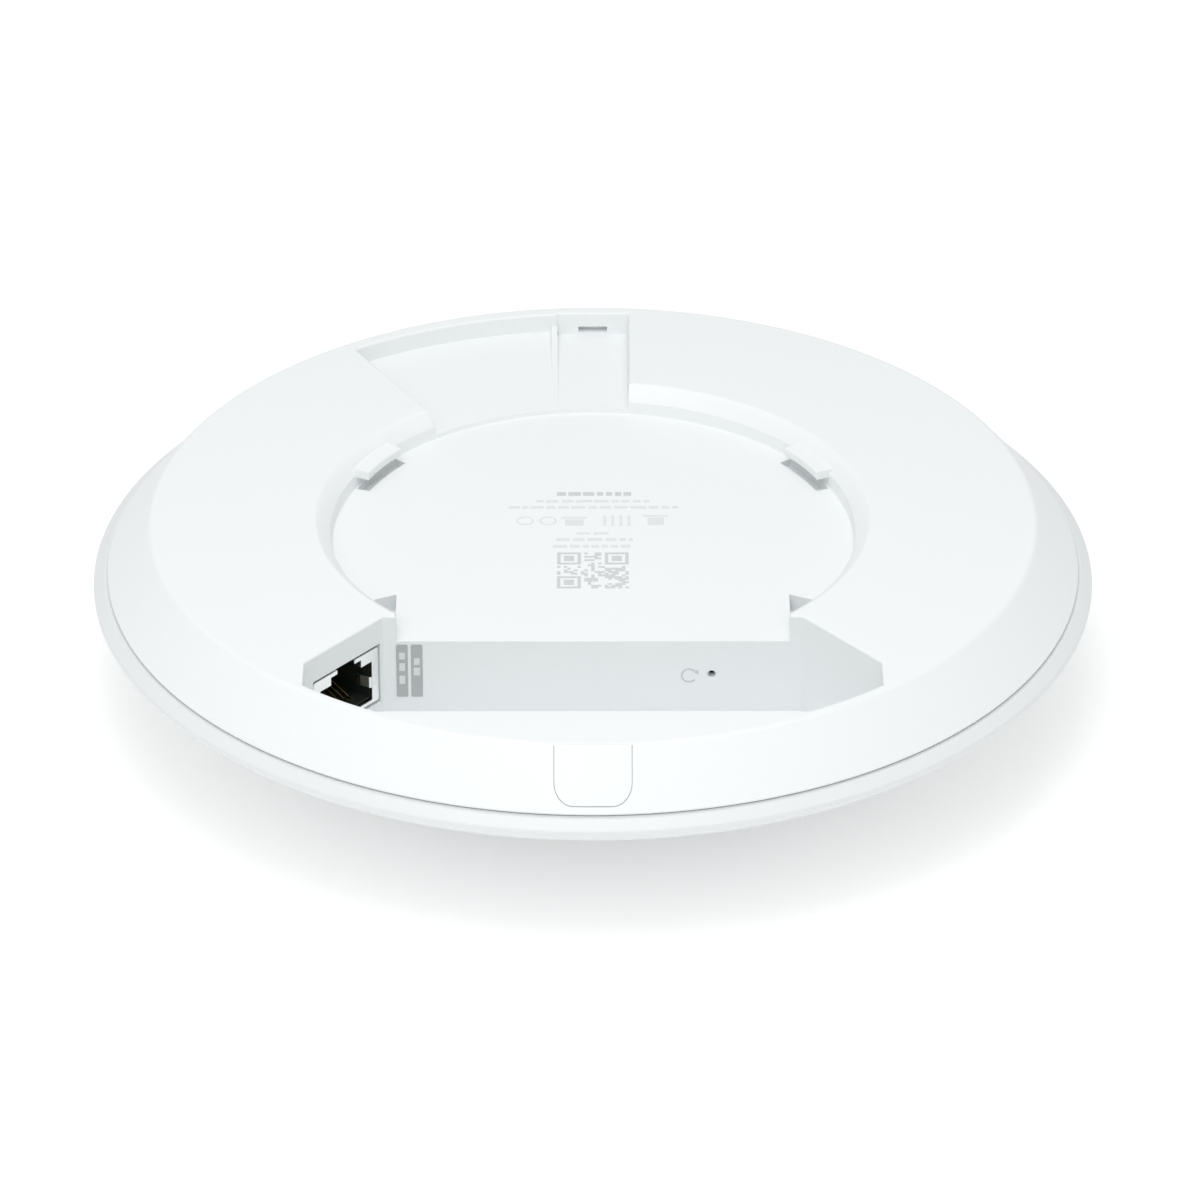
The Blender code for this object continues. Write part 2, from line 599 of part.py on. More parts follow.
def electronics():
    on_board("processor_chip", 0.0, 0.0080, (0.0150, 0.0150, PROCESSOR_HEIGHT), "chip_plastic")
    on_board("memory_chip_1", -0.0150, 0.0030, (0.0080, 0.0110, 0.0010), "chip_plastic")
    on_board("memory_chip_2", 0.0150, 0.0030, (0.0080, 0.0110, 0.0010), "chip_plastic")
    on_board("flash_chip", 0.0060, -0.0120, (0.0080, 0.0060, 0.0010), "chip_plastic")
    for band, x in (("2g", -0.0160), ("5g", 0.0160)):
        on_board("radio_chip_" + band, x, 0.0240, (0.0090, 0.0090, 0.0009), "chip_plastic")
        shield_can("radio_shield_" + band, x, 0.0240, (0.0180, 0.0150, 0.0028))
        on_board("thermal_pad_" + band, x, 0.0240, (0.0140, 0.0120, 0.0030), "thermal_pad", lift=0.0031)
    pad_lift = PROCESSOR_HEIGHT + GAP
    on_board("thermal_pad_cpu", 0.0, 0.0080, (0.0140, 0.0140, PAD_THICKNESS), "thermal_pad", pad_lift)
    on_board("poe_transformer", -0.0380, 0.0080, (0.0120, 0.0130, 0.0070), "black_plastic")
    on_board("lan_magnetics", -0.0330, -0.0120, (0.0090, 0.0150, 0.0050), "chip_plastic")
    on_board("power_inductor", 0.0380, 0.0060, (0.0080, 0.0080, 0.0045), "chip_plastic")
    for number, x in ((1, -0.0530), (2, 0.0530)):
        centre = (x, 0.0020, PCB_TOP_Z + GAP + 0.0045)
        cylinder(f"bulk_capacitor_{number}", centre, 0.0040, 0.0090, "aluminium", sides=20)


def heat_spreader():
    """Plate under the recess floor, with a pedestal that reaches down to the processor's pad."""
    top = -RECESS_FLOOR_WALL - GAP
    low = -0.0038
    corners = ((-0.0270, -0.0130), (0.0270, -0.0130), (0.0270, 0.0330), (-0.0270, 0.0330))
    plate = prism("heat_spreader", corners, low, top, "aluminium")
    pad_top = PCB_TOP_Z + 2 * GAP + PROCESSOR_HEIGHT + PAD_THICKNESS + GAP
    height = low + 0.0008 - pad_top
    add(plate, box("spreader_pedestal", (0.0, 0.0080, pad_top + height / 2), (0.0150, 0.0150, height)))


def under_board():
    """Antennas, status lights and the board's screws, on the side that faces the front cover."""
    low = PCB_TOP_Z - PCB_THICKNESS - GAP
    sheet = 0.0004
    drop = 0.0036
    reach = 0.0120
    for number, turn in enumerate((15.0, 62.0, 118.0, 165.0), 1):
        outline = [(0.0, 0.0), (sheet, 0.0), (sheet, sheet - drop), (reach, sheet - drop)]
        outline += [(reach, -drop), (0.0, -drop)]
        antenna = prism(f"antenna_{number}", outline, -0.0050, 0.0050, "shield_metal")
        antenna.rotation_euler = (math.pi / 2, 0.0, math.radians(turn))
        antenna.location = around(0.0400, low, turn)
    for number in range(4):
        turn = 45.0 + 90.0 * number
        spot = around(sum(LIGHT_GUIDE_RADII) / 2, low - 0.0004, turn)
        light = box(f"status_led_{number + 1}", spot, (0.0016, 0.0016, 0.0008), "light_plastic")
        light.rotation_euler.z = math.radians(turn)
    for number, (x, y) in enumerate(BOSSES, 1):
        profile = [(0.0, low + 0.0050), (0.0009, low + 0.0050), (0.0009, low), (0.0025, low)]
        profile += [(0.0025, low - 0.0012), (0.0, low - 0.0012)]
        screw = turned(f"pcb_screw_{number}", profile, "screw_steel", sides=12, closed=False)
        screw.location = (x, y, 0.0)


rear_housing()
cable_exit_tab()
front_cover()
light_ring()
light_guide()
rj45_shield()
rj45_insert()
rj45_contacts()
reset_switch()
main_pcb()
electronics()
heat_spreader()
under_board()
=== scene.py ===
"""The looks of the ceiling access point: fine shells, printed marks, materials, floor, light and camera."""
import json
import math
import random

import bmesh
import bpy
from mathutils import Matrix, Vector


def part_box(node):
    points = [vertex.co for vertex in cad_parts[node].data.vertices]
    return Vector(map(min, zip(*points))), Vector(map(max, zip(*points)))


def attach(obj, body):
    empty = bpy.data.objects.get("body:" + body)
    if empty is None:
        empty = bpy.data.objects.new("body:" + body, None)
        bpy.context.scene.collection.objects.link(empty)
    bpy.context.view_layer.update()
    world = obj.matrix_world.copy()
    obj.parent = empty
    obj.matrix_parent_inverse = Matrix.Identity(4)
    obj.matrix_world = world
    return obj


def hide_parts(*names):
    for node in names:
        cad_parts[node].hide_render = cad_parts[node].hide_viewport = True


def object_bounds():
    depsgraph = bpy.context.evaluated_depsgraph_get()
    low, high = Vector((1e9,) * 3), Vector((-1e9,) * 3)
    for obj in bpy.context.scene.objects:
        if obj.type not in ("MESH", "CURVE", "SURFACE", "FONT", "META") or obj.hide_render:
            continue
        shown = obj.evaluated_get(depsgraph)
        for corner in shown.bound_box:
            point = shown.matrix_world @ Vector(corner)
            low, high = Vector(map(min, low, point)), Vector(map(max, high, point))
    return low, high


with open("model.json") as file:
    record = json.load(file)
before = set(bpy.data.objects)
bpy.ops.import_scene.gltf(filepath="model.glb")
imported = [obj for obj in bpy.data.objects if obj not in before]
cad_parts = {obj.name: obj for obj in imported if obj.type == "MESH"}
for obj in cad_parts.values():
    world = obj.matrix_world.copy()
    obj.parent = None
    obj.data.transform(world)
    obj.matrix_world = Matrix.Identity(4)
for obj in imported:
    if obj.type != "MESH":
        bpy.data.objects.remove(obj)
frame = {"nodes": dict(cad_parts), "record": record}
CAD_LOW, CAD_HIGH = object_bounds()

MM = 0.001

# ---- Places read from the frame -----------------------------------------------------------------
HOUSING_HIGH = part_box("rear_housing")[1]
COVER_LOW, COVER_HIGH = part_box("front_cover")
TAB_LOW, TAB_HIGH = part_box("cable_exit_tab")
RING_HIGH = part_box("light_ring")[1]
SHIELD_LOW, SHIELD_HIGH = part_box("rj45_shield")
PLUNGER_LOW, PLUNGER_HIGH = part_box("reset_plunger")

REAR_Z = HOUSING_HIGH.z
SEAM_RADIUS = HOUSING_HIGH.x
RIM_RADIUS = COVER_HIGH.x
COVER_TOP_Z = COVER_HIGH.z

# ---- Shells: rear ring, sloping side, dome -------------------------------------------------------
GAP = 0.3 * MM                                 # clearance between neighbouring pieces
EDGE = 0.35 * MM                               # radius of the moulded edges
FINE = 240                                     # sides of the large turned shapes
SHARP_ANGLE = math.radians(32)                 # above this an edge stays sharp
MERGE_Z = REAR_Z - 1.0 * MM                    # top of the bodies that join the shell from below
CUT_TOP_Z = REAR_Z + 2.0 * MM                  # top of the tools that cut into the rear face
RING_INNER = 41.0 * MM                         # the ring's section starts inside the recess body
CREASE_RADIUS, CREASE_EDGE = 70.8 * MM, 1.1 * MM
SEAM_Z, SEAM_EDGE = COVER_TOP_Z + 0.32 * MM, 0.25 * MM
INNER_CREASE = (69.6 * MM, REAR_Z - 2.0 * MM)
TONGUE = (75.0 * MM, 76.4 * MM, -6.0 * MM)     # ring that the cover clips over: radii and low end

DOME_RADIUS = 160.0 * MM
DOME_CENTRE_Z = COVER_LOW.z + DOME_RADIUS
COVER_WALL = 1.8 * MM
COVER_LIP = 76.8 * MM                          # inner radius of the lip
SEAM_STEP = (0.35 * MM, 0.15 * MM)             # how deep and how high the seam's gap is
RIM_DROP = (1.15 * MM, 2.0 * MM)               # the rim's upright band, measured down from the lip
DOME_EDGE = (77.6 * MM, -8.5 * MM)
RING_DEPTH, GROOVE_WIDTH, INLAY_WIDTH = 1.0 * MM, 3.0 * MM, 2.4 * MM

# ---- Bracket recess, lugs, notch and sweep pocket ------------------------------------------------
RECESS_TOP, RECESS_BREAK, RECESS_FLOOR = 43.7 * MM, (42.0 * MM, 2.1 * MM), 41.7 * MM
RECESS_BODY_RADIUS, RECESS_BODY_LOW_Z = 45.8 * MM, -2.0 * MM
RECESS_SIDE_X, RECESS_SIDE_Y = 30.75 * MM, -27.0 * MM
LUG_INNER, LUG_OUTER, LUG_LOW_Z, LUG_TOP_Z = 39.7 * MM, 44.5 * MM, 1.6 * MM, 3.0 * MM
LUG_ANGLES = (24.0, 38.0)                      # from +X; the left lug is their mirror image
LUG_POCKET_RADII, LUG_POCKET_Z = (39.3 * MM, 41.5 * MM), (-1.4 * MM, 1.0 * MM)
SIDE_POCKET = [(x * MM, y * MM) for x, y in ((31.0, -30.6), (32.5, -30.3), (35.5, -26.2), (36.6, -23.2),
                                             (34.4, -19.6), (31.0, -18.0))]
SIDE_POCKET_Z, SIDE_POCKET_WALL = (-2.8 * MM, 2.0 * MM), 1.0 * MM
SIDE_POCKET_BODY_Z = (-4.0 * MM, 0.8 * MM)

NOTCH_HALF_WIDTH, NOTCH_NEAR_Y, NOTCH_END_Y, NOTCH_FLOOR_Z = 6.0 * MM, 40.0 * MM, 68.5 * MM, 0.7 * MM
NOTCH_DRAFT = 0.25 * MM
NOTCH_BODY_CENTRE, NOTCH_BODY_SIZE = (0, 56.0 * MM, 1.3 * MM), (15.6 * MM, 28.4 * MM, 4.3 * MM)
LATCH_SLOT_SIZE, LATCH_SLOT_LIFT = (4.8 * MM, 2.4 * MM, 1.0 * MM), 0.87 * MM
DETENT_SECTION = [(-5.9, -0.5), (-5.9, 2.4), (-6.9, 2.4), (-8.0, -0.5)]    # x and z in mm
DETENT_ENDS = ((45.0 * MM, 0.15), (69.2 * MM, 1.0))                        # y and share of the height

SWEEP_START, SWEEP_END, SWEEP_INNER_END = 95.0, 125.3, 128.8
SWEEP_RADII, SWEEP_BODY_RADII = (40.0 * MM, 68.4 * MM), (43.0 * MM, 70.0 * MM)
SWEEP_FLOOR_Z = (0.75 * MM, 1.35 * MM)         # at the inner and the outer end
SWEEP_BODY_Z = (-0.85 * MM, MERGE_Z - 0.1 * MM)

# ---- Port channel --------------------------------------------------------------------------------
PORT_WALL_Y = -32.6 * MM
PORT_WALL_CORNER = Vector((32.6 * MM, -32.4 * MM))
PORT_SIDE_CORNER = Vector((44.5 * MM, -46.6 * MM))
SLANT = (PORT_SIDE_CORNER - PORT_WALL_CORNER).normalized()
SLANT_OUT = Vector((-SLANT.y, SLANT.x))
CHANNEL_WALL, CHANNEL_NEAR_WALL = 1.5 * MM, 1.1 * MM
CHANNEL_TOP = (69.4 * MM, -61.0 * MM)          # arc radius and near wall at the rear face
CHANNEL_LOW = (64.6 * MM, -57.5 * MM)          # the same where the floor starts to fall
CHANNEL_DEEP = (58.5 * MM, -50.0 * MM, 38.5 * MM)              # and at its deepest, with its half width
CHANNEL_Z = (-12.7 * MM, -10.8 * MM)           # deepest floor, and where it starts to fall
CHANNEL_BODY_LOW_ARC, CHANNEL_BODY_Z = 65.3 * MM, (-13.7 * MM, -12.0 * MM)
WINDOW = Vector((15.6 * MM, 10.65 * MM))       # opening for the network socket
RESET_HOLE_RADIUS, RESET_RIM_RADIUS, RESET_RIM_DEPTH = 0.6 * MM, 0.85 * MM, 0.15 * MM

BOSSES = [(x * side * MM, y * MM) for x, y in ((48.9, 22.8), (50.7, -18.5)) for side in (-1, 1)]
BOSS_LOW_Z, BOSS_RADIUS, PILOT_RADIUS, PILOT_LENGTH = -10.2 * MM, 3.0 * MM, 1.2 * MM, 16.0 * MM

# ---- Cable exit tab ------------------------------------------------------------------------------
TAB_CORNER = 2.65 * MM
TAB_FACE = 0.28 * MM                           # thickness of the flap's wider front
TAB_LEDGE = 0.55 * MM                          # ledge that the flap's edge rests over
TAB_BEVEL = 0.05 * MM
TAB_GROW, REBATE_GROW, BACK_PLAY = 0.1 * MM, 0.25 * MM, 0.15 * MM
HINGE_PLAY, REBATE_PLAY = 0.02 * MM, 0.05 * MM
OUTSIDE_Y = -82.0 * MM                         # in front of the whole part

# ---- Network socket ------------------------------------------------------------------------------
SOCKET_DEPTH = 16.0 * MM
SOCKET_HALF = Vector((7.5 * MM, (SHIELD_HIGH.z - SHIELD_LOW.z) / 2))
SHEET = 0.25 * MM
MOUTH_LOW_Z = -4.2 * MM
CAVITY_FLOOR_Z, CAVITY_DEPTH = -3.825 * MM, 13.0 * MM
CONTACT_PITCH, WIRE_RADIUS = 1.016 * MM, 0.17 * MM

INK = 0.03 * MM                                # thickness of a printed mark
TAG_THICKNESS = 0.08 * MM

# ---- Mesh helpers -------------------------------------------------------------------------------
SHOWN = bpy.data.collections.new("shown_pieces")
bpy.context.scene.collection.children.link(SHOWN)


def shade(mesh):
    mesh.shade_smooth()
    mesh.set_sharp_from_angle(angle=SHARP_ANGLE)


def from_bmesh(name, shape):
    """A linked object from a bmesh, with outward faces and smooth shading up to an angle."""
    bmesh.ops.recalc_face_normals(shape, faces=shape.faces)
    mesh = bpy.data.meshes.new(name)
    shape.to_mesh(mesh)
    shape.free()
    shade(mesh)
    thing = bpy.data.objects.new(name, mesh)
    SHOWN.objects.link(thing)
    return thing


def box(name, centre, size, bevel=0.0):
    shape = bmesh.new()
    bmesh.ops.create_cube(shape, size=1.0)
    bmesh.ops.scale(shape, vec=Vector(size), verts=shape.verts)
    if bevel:
        bmesh.ops.bevel(shape, geom=shape.edges, offset=bevel, segments=3, profile=0.5, affect="EDGES")
    bmesh.ops.translate(shape, vec=Vector(centre), verts=shape.verts)
    return from_bmesh(name, shape)


def cylinder(name, centre, radius, depth, sides=48, along_y=False):
    shape = bmesh.new()
    turn = Matrix.Rotation(math.pi / 2, 4, "X") if along_y else Matrix.Identity(4)
    place = Matrix.Translation(Vector(centre)) @ turn
    bmesh.ops.create_cone(shape, cap_ends=True, segments=sides, radius1=radius, radius2=radius,
                          depth=depth, matrix=place)
    return from_bmesh(name, shape)


def turned(name, profile, closed=True):
    """Turn a (radius, z) profile round Z."""
    shape = bmesh.new()
    points = [shape.verts.new((radius, 0.0, z)) for radius, z in profile]
    edges = [shape.edges.new(pair) for pair in zip(points, points[1:])]
    if closed:
        edges.append(shape.edges.new((points[-1], points[0])))
    bmesh.ops.spin(shape, geom=points + edges, cent=(0, 0, 0), axis=(0, 0, 1), angle=2 * math.pi,
                   steps=FINE, use_merge=True)
    bmesh.ops.remove_doubles(shape, verts=shape.verts, dist=1e-7)
    return from_bmesh(name, shape)


def loft(name, sections):
    """Skin closed sections that have the same number of points, and cap both ends."""
    shape = bmesh.new()
    rings = [[shape.verts.new(point) for point in section] for section in sections]
    count = len(rings[0])
    for lower, upper in zip(rings, rings[1:]):
        for index in range(count):
            after = (index + 1) % count
            shape.faces.new((lower[index], lower[after], upper[after], upper[index]))
    shape.faces.new(list(reversed(rings[0])))
    shape.faces.new(rings[-1])
    return from_bmesh(name, shape)


def at_height(outline, z):
    return [(x, y, z) for x, y in outline]


def prism(name, outline, low, high):
    return loft(name, [at_height(outline, low), at_height(outline, high)])


def grown(outline, distance):
    """An anticlockwise outline with every side moved outwards by distance."""
    moved = []
    count = len(outline)
    for index in range(count):
        before = Vector(outline[index - 1])
        here = Vector(outline[index])
        after = Vector(outline[(index + 1) % count])
        first = (here - before).normalized()
        second = (after - here).normalized()
        out = Vector((first.y, -first.x)) + Vector((second.y, -second.x))
        share = 1.0 + first.dot(second)
        moved.append(tuple(here + out * (distance / share)))
    return moved


def rounded(points, radii, steps=6):
    """A closed row of corners with each one rounded to its radius."""
    result = []
    count = len(points)
    for index, radius in enumerate(radii):
        corner = Vector(points[index])
        if not radius:
            result.append(tuple(corner))
            continue
        back = (Vector(points[index - 1]) - corner).normalized()
        ahead = (Vector(points[(index + 1) % count]) - corner).normalized()
        half = back.angle(ahead) / 2
        start = corner + back * (radius / math.tan(half))
        end = corner + ahead * (radius / math.tan(half))
        centre = corner + (back + ahead).normalized() * (radius / math.sin(half))
        first = start - centre
        sweep = first.angle_signed(end - centre)
        for step in range(steps + 1):
            turn = -sweep * step / steps
            spoke = Vector((first.x * math.cos(turn) - first.y * math.sin(turn),
                            first.x * math.sin(turn) + first.y * math.cos(turn)))
            result.append(tuple(centre + spoke))
    return result


def around(radius, z, degrees):
    angle = math.radians(degrees)
    return Vector((radius * math.cos(angle), radius * math.sin(angle), z))


def sector(name, profile, start, end, step=1.0):
    count = max(1, round((end - start) / step))
    turns = [start + (end - start) * index / count for index in range(count + 1)]
    return loft(name, [[around(radius, z, turn) for radius, z in profile] for turn in turns])


def settle(thing):
    """Apply a piece's modifiers to its mesh."""
    bpy.context.view_layer.update()
    evaluated = thing.evaluated_get(bpy.context.evaluated_depsgraph_get())
    mesh = bpy.data.meshes.new_from_object(evaluated)
    thing.modifiers.clear()
    thing.data = mesh
    return mesh


def flatten_normals(thing):
    """Let large faces keep their own normals where they meet small rounded ones."""
    weighted = thing.modifiers.new("normals", "WEIGHTED_NORMAL")
    weighted.keep_sharp = True
    weighted.weight = 90
    settle(thing)


def combine(thing, tools, operation):
    """Apply Booleans with each tool in turn, and remove the tools."""
    for tool in tools:
        boolean = thing.modifiers.new(tool.name, "BOOLEAN")
        boolean.operation = operation
        boolean.solver = "MANIFOLD"
        boolean.object = tool
    shade(settle(thing))
    for tool in tools:
        bpy.data.objects.remove(tool, do_unlink=True)


def mirrored(name, outline, low, high):
    """The same prism on the left and on the right, each with outward faces."""
    pair = []
    for side in (-1, 1):
        thing = prism(f"{name}_{side}", outline, low, high)
        thing.data.transform(Matrix.Scale(side, 4, (1, 0, 0)))
        pair.append(fix_normals(thing))
    return pair


def fix_normals(thing):
    shape = bmesh.new()
    shape.from_mesh(thing.data)
    bmesh.ops.recalc_face_normals(shape, faces=shape.faces)
    shape.to_mesh(thing.data)
    shape.free()
    return thing


def flare():
    """How far an opening widens, and at what depth, to give its edge a moulded radius."""
    steps = [(EDGE * (1 - math.cos(math.radians(turn))), EDGE * (1 - math.sin(math.radians(turn))))
             for turn in (0, 20, 40, 60, 78)]
    return steps + [(EDGE * 1.1, -0.02 * MM)]


# ---- Outlines -----------------------------------------------------------------------------------
def channel_outline(grow, arc_radius, near_y, half_width=PORT_SIDE_CORNER.x):
    """Port channel outline, anticlockwise from its near right corner, its walls moved out by grow."""
    side_x = half_width + grow
    wall_y = PORT_WALL_Y + grow
    on_slant = PORT_WALL_CORNER + SLANT_OUT * grow
    slant_start = on_slant + SLANT * ((wall_y - on_slant.y) / SLANT.y)
    slant_end = on_slant + SLANT * ((side_x - on_slant.x) / SLANT.x)
    first = math.asin(near_y / arc_radius)
    last = -math.acos(side_x / arc_radius)
    turns = [first + (last - first) * index / 12 for index in range(13)]
    half = [(arc_radius * math.cos(turn), arc_radius * math.sin(turn)) for turn in turns]
    half += [tuple(slant_end), tuple(slant_start)]
    return half + [(-x, y) for x, y in reversed(half)]


def tab_outline(grow, top):
    """U outline of the cable exit tab as (x, z)."""
    middle_x = (TAB_LOW.x + TAB_HIGH.x) / 2
    half_width = (TAB_HIGH.x - TAB_LOW.x) / 2 + grow
    low = TAB_LOW.z - grow
    corner = TAB_CORNER + grow
    turns = [math.radians(-90 + 11.25 * index) for index in range(9)]
    half = [(half_width - corner + corner * math.cos(turn), low + corner + corner * math.sin(turn))
            for turn in turns]
    half.append((half_width, top))
    return [(middle_x + x, z) for x, z in half] + [(middle_x - x, z) for x, z in reversed(half)]


def standing(name, outline, near_y, far_y):
    """A prism whose outline is (x, z) and which runs from near_y to far_y."""
    return loft(name, [[(x, near_y, z) for x, z in outline], [(x, far_y, z) for x, z in outline]])


def dome_arc(radius, start, end, steps):
    reaches = [start + (end - start) * index / steps for index in range(steps + 1)]
    return [(reach, DOME_CENTRE_Z - math.sqrt(radius ** 2 - reach ** 2)) for reach in reaches]


def widening(name, outline, floor_sections):
    """Tool that opens from its floor sections to the rear face, where its edge is rounded."""
    sections = list(floor_sections)
    for grow, depth in flare():
        sections.append(at_height(outline(grow), REAR_Z - depth))
    sections.append([(x, y, CUT_TOP_Z) for x, y, _ in sections[-1]])
    return loft(name, sections)


# ---- Rear shell ---------------------------------------------------------------------------------
def ring_and_side():
    """Turned flat ring, sloping side and tongue."""
    corners = [(RING_INNER, REAR_Z), (CREASE_RADIUS, REAR_Z), (SEAM_RADIUS, SEAM_Z), (TONGUE[1], SEAM_Z),
               (TONGUE[1], TONGUE[2]), (TONGUE[0], TONGUE[2]), (TONGUE[0], SEAM_Z), INNER_CREASE,
               (RING_INNER, INNER_CREASE[1])]
    return turned("rear_shell", rounded(corners, [0, CREASE_EDGE, SEAM_EDGE, 0, 0, 0, 0, 0, 0]))


def channel_body():
    arc, near_y, half_width = CHANNEL_DEEP
    deep = channel_outline(CHANNEL_WALL, arc + CHANNEL_WALL, near_y - CHANNEL_NEAR_WALL, half_width)
    low = channel_outline(CHANNEL_WALL, CHANNEL_BODY_LOW_ARC, CHANNEL_LOW[1] - CHANNEL_NEAR_WALL)
    high = channel_outline(CHANNEL_WALL, CHANNEL_TOP[0] + CHANNEL_WALL, CHANNEL_TOP[1] - CHANNEL_WALL)
    heights = (*CHANNEL_BODY_Z, MERGE_Z)
    return loft("channel_body", [at_height(outline, z) for outline, z in zip((deep, low, high), heights)])


def shell_bodies():
    """Material behind the recess, channel, notch and pockets, and the screw bosses."""
    centre = (0, 0, (MERGE_Z + RECESS_BODY_LOW_Z) / 2)
    bodies = [cylinder("recess_body", centre, RECESS_BODY_RADIUS, MERGE_Z - RECESS_BODY_LOW_Z, FINE)]
    bodies.append(channel_body())
    bodies.append(box("notch_body", NOTCH_BODY_CENTRE, NOTCH_BODY_SIZE))
    (inner, outer), (low, high) = SWEEP_BODY_RADII, SWEEP_BODY_Z
    section = [(inner, low), (outer, low), (outer, high), (inner, high)]
    bodies.append(sector("sweep_body", section, SWEEP_START - 1.0, SWEEP_INNER_END + 1.5, step=2.0))
    bodies += mirrored("pocket_body", grown(SIDE_POCKET, SIDE_POCKET_WALL), *SIDE_POCKET_BODY_Z)
    depth = INNER_CREASE[1] + 1.0 * MM - BOSS_LOW_Z
    for number, (x, y) in enumerate(BOSSES):
        bodies.append(cylinder(f"boss_{number}", (x, y, BOSS_LOW_Z + depth / 2), BOSS_RADIUS, depth, 40))
    return bodies


def recess_tool():
    """Bracket recess: upright wall, sloping lead-in and a soft edge where it meets the rear face."""
    slope = (RECESS_TOP - RECESS_BREAK[0]) / (REAR_Z - RECESS_BREAK[1])
    reach = RECESS_TOP + 6.0 * MM
    corners = [(0, CUT_TOP_Z), (reach, CUT_TOP_Z), (reach, REAR_Z + 0.4 * MM)]
    corners += [(RECESS_TOP + 0.6 * MM, REAR_Z - 0.02 * MM)]
    corners += [(RECESS_TOP - slope * 0.9 * MM, REAR_Z - 0.9 * MM)]
    corners += [RECESS_BREAK, (RECESS_FLOOR, 0.0), (0, 0.0)]
    radii = [0, 0, 0, 0.3 * MM, 0, 0.2 * MM, 0.2 * MM, 0]
    return turned("recess_tool", rounded(corners, radii), closed=False)


def recess_side_tool():
    """Straight sides of the recess beside the port channel."""
    def outline(grow):
        x, near_y = RECESS_SIDE_X + grow, PORT_WALL_Y - 1.0 * MM
        return [(-x, near_y), (x, near_y), (x, RECESS_SIDE_Y), (-x, RECESS_SIDE_Y)]
    return widening("recess_side_tool", outline, [at_height(outline(0), 0.0)])


def channel_tool():
    def outline(grow):
        return channel_outline(grow, CHANNEL_TOP[0] + grow, CHANNEL_TOP[1] - grow)
    floors = (channel_outline(0, *CHANNEL_DEEP), channel_outline(0, *CHANNEL_LOW))
    return widening("channel_tool", outline, [at_height(floor, z) for floor, z in zip(floors, CHANNEL_Z)])


def sweep_tool():
    """Sector pocket with a sloping floor and a rounded edge at the rear face."""
    def arc(radius, last):
        turns = [SWEEP_START + (last - SWEEP_START) * index / 24 for index in range(25)]
        return [tuple(around(radius, 0, turn).xy) for turn in turns]

    def outline(grow):
        outer = arc(SWEEP_RADII[1] + grow, SWEEP_END + math.degrees(grow / 0.06))
        return outer + list(reversed(arc(SWEEP_RADII[0], SWEEP_INNER_END + math.degrees(grow / 0.04))))
    heights = [SWEEP_FLOOR_Z[1]] * 25 + [SWEEP_FLOOR_Z[0]] * 25
    floor = [(x, y, z) for (x, y), z in zip(outline(0), heights)]
    return widening("sweep_tool", outline, [floor])


def notch_tool():
    def outline(grow):
        x, far = NOTCH_HALF_WIDTH + grow, NOTCH_END_Y + grow
        corners = [(-x, NOTCH_NEAR_Y), (x, NOTCH_NEAR_Y), (x, far), (-x, far)]
        return rounded(corners, [0, 0, 0.3 * MM, 0.3 * MM], 4)
    return widening("notch_tool", outline, [at_height(outline(-NOTCH_DRAFT), NOTCH_FLOOR_Z)])


def detent_ridge():
    """Ridge beside the notch, rising away from the recess."""
    sections = []
    for y, share in DETENT_ENDS:
        sections.append([(x * MM, y, (z if z < 0 else z * share) * MM) for x, z in DETENT_SECTION])
    return loft("detent_ridge", sections)


def at_lugs(name, section, margin):
    """The same section swept over the right and the left lug's angles, and margin beyond them."""
    span = LUG_ANGLES[1] - LUG_ANGLES[0] + 2 * margin
    starts = (("right", LUG_ANGLES[0] - margin), ("left", 180 - LUG_ANGLES[1] - margin))
    return [sector(f"{name}_{side}", section, start, start + span) for side, start in starts]


def lugs():
    corners = [(LUG_INNER, LUG_LOW_Z), (LUG_OUTER, LUG_LOW_Z)]
    corners += [(LUG_OUTER, LUG_TOP_Z), (LUG_INNER, LUG_TOP_Z)]
    return at_lugs("lug", rounded(corners, [0.12 * MM, 0, 0, 0.3 * MM], 4), 0)


def lug_pockets():
    (inner, outer), (low, high) = LUG_POCKET_RADII, LUG_POCKET_Z
    return at_lugs("lug_pocket", [(inner, low), (outer, low), (outer, high), (inner, high)], 1)


def reset_tools():
    """Reset hole and its countersunk rim."""
    reset = (PLUNGER_LOW + PLUNGER_HIGH) / 2
    hole_centre = (reset.x, PORT_WALL_Y, reset.z)
    hole = cylinder("reset_tool", hole_centre, RESET_HOLE_RADIUS, 5 * MM, 48, along_y=True)
    rim_length = 1.0 * MM
    rim_centre = (reset.x, PORT_WALL_Y + RESET_RIM_DEPTH - rim_length / 2, reset.z)
    return [hole, cylinder("reset_rim_tool", rim_centre, RESET_RIM_RADIUS, rim_length, 48, along_y=True)]


def cone_layer(name, top_depth, low_depth):
    """Turned layer of the sloping wall, between two depths under its outer face."""
    run = Vector((SEAM_RADIUS - CREASE_RADIUS, SEAM_Z - REAR_Z)).normalized()
    down = Vector((run.y, -run.x))
    start = Vector((CREASE_RADIUS, REAR_Z)) - run * (0.6 * MM)
    end = Vector((SEAM_RADIUS, SEAM_Z))
    if top_depth < 0:
        end = end + run * (3.0 * MM)
    places = ((start, top_depth), (end, top_depth), (end, low_depth), (start, low_depth))
    return turned(name, [tuple(point + down * depth) for point, depth in places])


